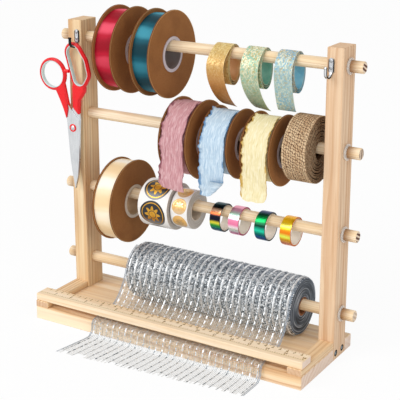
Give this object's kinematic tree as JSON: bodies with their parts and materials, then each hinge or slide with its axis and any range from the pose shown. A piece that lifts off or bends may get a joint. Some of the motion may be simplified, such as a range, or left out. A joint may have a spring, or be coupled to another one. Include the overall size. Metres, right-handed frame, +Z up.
{
  "type": "ribbon rack",
  "caption": "Pine counter rack whose turning rods carry ribbon spools, rolls and tapes, with a ruler bar over a cutting slot and side hooks for scissors.",
  "frame": {"origin": "middle of the base board's underside, on the table", "axes": "+X right along the rods, +Y to the back, +Z up"},
  "size_m": [0.4741, 0.2378, 0.4288],
  "materials": {
    "pine": "planed, clear lacquer",
    "ruler_pine": "planed, pale, printed with inch marks",
    "rod_wood": "turned dowel",
    "zinc": "zinc plated",
    "nickel": "nickel plated",
    "clear_ring": "clear, soft",
    "kraft": "plain kraft",
    "red_satin": "satin",
    "teal_satin": "satin",
    "cream_satin": "satin",
    "pink_chiffon": "crinkled, sheer",
    "blue_chiffon": "crinkled, sheer",
    "yellow_chiffon": "crinkled, sheer",
    "burlap": "coarse plain weave",
    "gold_glitter": "glitter",
    "green_glitter": "glitter",
    "azure_glitter": "glitter",
    "label_paper": "glossy label sheet",
    "core_card": "wound tube",
    "tape_card": "white card",
    "dark_film": "holographic film",
    "rose_film": "holographic film",
    "forest_film": "holographic film",
    "amber_film": "holographic film",
    "mesh_fabric": "net with tinsel threads",
    "red_plastic": "moulded gloss",
    "grey_grip": "soft matt",
    "blade_steel": "ground"
  },
  "bodies": {
    "frame": {"base_board": "pine", "left_post": "pine", "right_post": "pine", "left_strip": "pine", "right_strip": "pine", "ruler_bar": "ruler_pine", "post_screws": "zinc", "left_hook": "nickel", "right_hook": "nickel", "hook_screws": "nickel", "mesh_sheet": "mesh_fabric", "pink_tail": "pink_chiffon", "blue_tail": "blue_chiffon", "yellow_tail": "yellow_chiffon"},
    "turning_rod_1": {"rod_1": "rod_wood", "rings_1": "clear_ring"},
    "turning_rod_2": {"rod_2": "rod_wood", "rings_2": "clear_ring"},
    "turning_rod_3": {"rod_3": "rod_wood", "rings_3": "clear_ring"},
    "turning_rod_4": {"rod_4": "rod_wood", "rings_4": "clear_ring"},
    "red_reel": {"red_spool": "kraft", "red_ribbon": "red_satin"},
    "teal_reel": {"teal_spool": "kraft", "teal_ribbon": "teal_satin"},
    "pink_reel": {"pink_spool": "kraft", "pink_ribbon": "pink_chiffon"},
    "blue_reel": {"blue_spool": "kraft", "blue_ribbon": "blue_chiffon"},
    "yellow_reel": {"yellow_spool": "kraft", "yellow_ribbon": "yellow_chiffon"},
    "cream_reel": {"cream_spool": "kraft", "cream_ribbon": "cream_satin"},
    "burlap": {"burlap_roll": "burlap"},
    "label_reel": {"label_core": "core_card", "label_roll": "label_paper"},
    "slim_reel": {"slim_core": "core_card", "slim_roll": "label_paper"},
    "tape_reel_1": {"tape_core_1": "tape_card", "tape_1": "dark_film"},
    "tape_reel_2": {"tape_core_2": "tape_card", "tape_2": "rose_film"},
    "tape_reel_3": {"tape_core_3": "tape_card", "tape_3": "forest_film"},
    "tape_reel_4": {"tape_core_4": "tape_card", "tape_4": "amber_film"},
    "mesh_reel": {"mesh_core": "core_card", "mesh_roll": "mesh_fabric"},
    "gold_hank": {"gold_coil": "gold_glitter"},
    "green_hank": {"green_coil": "green_glitter"},
    "azure_hank": {"azure_coil": "azure_glitter"},
    "scissors": {"large_handle": "red_plastic", "large_grip": "grey_grip", "back_blade": "blade_steel", "pivot_pin": "blade_steel"},
    "front_half": {"small_handle": "red_plastic", "small_grip": "grey_grip", "front_blade": "blade_steel"}
  },
  "joints": [
    {"name": "turning_rod_1_spin", "type": "hinge", "parent": "frame", "child": "turning_rod_1", "pos_m": [0, 0.036, 0.382], "axis": [1, 0, 0], "continuous": true},
    {"name": "turning_rod_2_spin", "type": "hinge", "parent": "frame", "child": "turning_rod_2", "pos_m": [0, 0.036, 0.275], "axis": [1, 0, 0], "continuous": true},
    {"name": "turning_rod_3_spin", "type": "hinge", "parent": "frame", "child": "turning_rod_3", "pos_m": [0, 0.036, 0.168], "axis": [1, 0, 0], "continuous": true},
    {"name": "turning_rod_4_spin", "type": "hinge", "parent": "frame", "child": "turning_rod_4", "pos_m": [0, 0.036, 0.061], "axis": [1, 0, 0], "continuous": true},
    {"name": "red_reel_spin", "type": "hinge", "parent": "frame", "child": "red_reel", "pos_m": [0, 0.036, 0.3706], "axis": [1, 0, 0], "continuous": true},
    {"name": "teal_reel_spin", "type": "hinge", "parent": "frame", "child": "teal_reel", "pos_m": [0, 0.036, 0.3706], "axis": [1, 0, 0], "continuous": true},
    {"name": "pink_reel_spin", "type": "hinge", "parent": "frame", "child": "pink_reel", "pos_m": [0, 0.036, 0.2619], "axis": [1, 0, 0], "continuous": true},
    {"name": "blue_reel_spin", "type": "hinge", "parent": "frame", "child": "blue_reel", "pos_m": [0, 0.036, 0.2643], "axis": [1, 0, 0], "continuous": true},
    {"name": "yellow_reel_spin", "type": "hinge", "parent": "frame", "child": "yellow_reel", "pos_m": [0, 0.036, 0.2643], "axis": [1, 0, 0], "continuous": true},
    {"name": "cream_reel_spin", "type": "hinge", "parent": "frame", "child": "cream_reel", "pos_m": [0, 0.036, 0.1566], "axis": [1, 0, 0], "continuous": true},
    {"name": "burlap_spin", "type": "hinge", "parent": "frame", "child": "burlap", "pos_m": [0, 0.036, 0.2718], "axis": [1, 0, 0], "continuous": true},
    {"name": "label_reel_spin", "type": "hinge", "parent": "frame", "child": "label_reel", "pos_m": [0, 0.036, 0.1618], "axis": [1, 0, 0], "continuous": true},
    {"name": "slim_reel_spin", "type": "hinge", "parent": "frame", "child": "slim_reel", "pos_m": [0, 0.036, 0.1618], "axis": [1, 0, 0], "continuous": true},
    {"name": "tape_reel_1_spin", "type": "hinge", "parent": "frame", "child": "tape_reel_1", "pos_m": [0, 0.036, 0.159], "axis": [1, 0, 0], "continuous": true},
    {"name": "tape_reel_2_spin", "type": "hinge", "parent": "frame", "child": "tape_reel_2", "pos_m": [0, 0.036, 0.159], "axis": [1, 0, 0], "continuous": true},
    {"name": "tape_reel_3_spin", "type": "hinge", "parent": "frame", "child": "tape_reel_3", "pos_m": [0, 0.036, 0.159], "axis": [1, 0, 0], "continuous": true},
    {"name": "tape_reel_4_spin", "type": "hinge", "parent": "frame", "child": "tape_reel_4", "pos_m": [0, 0.036, 0.159], "axis": [1, 0, 0], "continuous": true},
    {"name": "mesh_reel_spin", "type": "hinge", "parent": "frame", "child": "mesh_reel", "pos_m": [0, 0.036, 0.0583], "axis": [1, 0, 0], "continuous": true},
    {"name": "gold_hank_swing", "type": "hinge", "parent": "frame", "child": "gold_hank", "pos_m": [0, 0.036, 0.382], "axis": [1, 0, 0], "range_deg": [-1, 15]},
    {"name": "green_hank_swing", "type": "hinge", "parent": "frame", "child": "green_hank", "pos_m": [0, 0.036, 0.382], "axis": [1, 0, 0], "range_deg": [-1, 15]},
    {"name": "azure_hank_swing", "type": "hinge", "parent": "frame", "child": "azure_hank", "pos_m": [0, 0.036, 0.382], "axis": [1, 0, 0], "range_deg": [-4, 15]},
    {"name": "scissors_swing", "type": "hinge", "parent": "frame", "child": "scissors", "pos_m": [-0.1895, 0.0099, 0.36235], "axis": [0, 1, 0], "range_deg": [-4, 25]},
    {"name": "scissors_open", "type": "hinge", "parent": "scissors", "child": "front_half", "pos_m": [-0.1937, 0.0099, 0.25695], "axis": [0, -1, 0], "range_deg": [0, 25]}
  ]
}
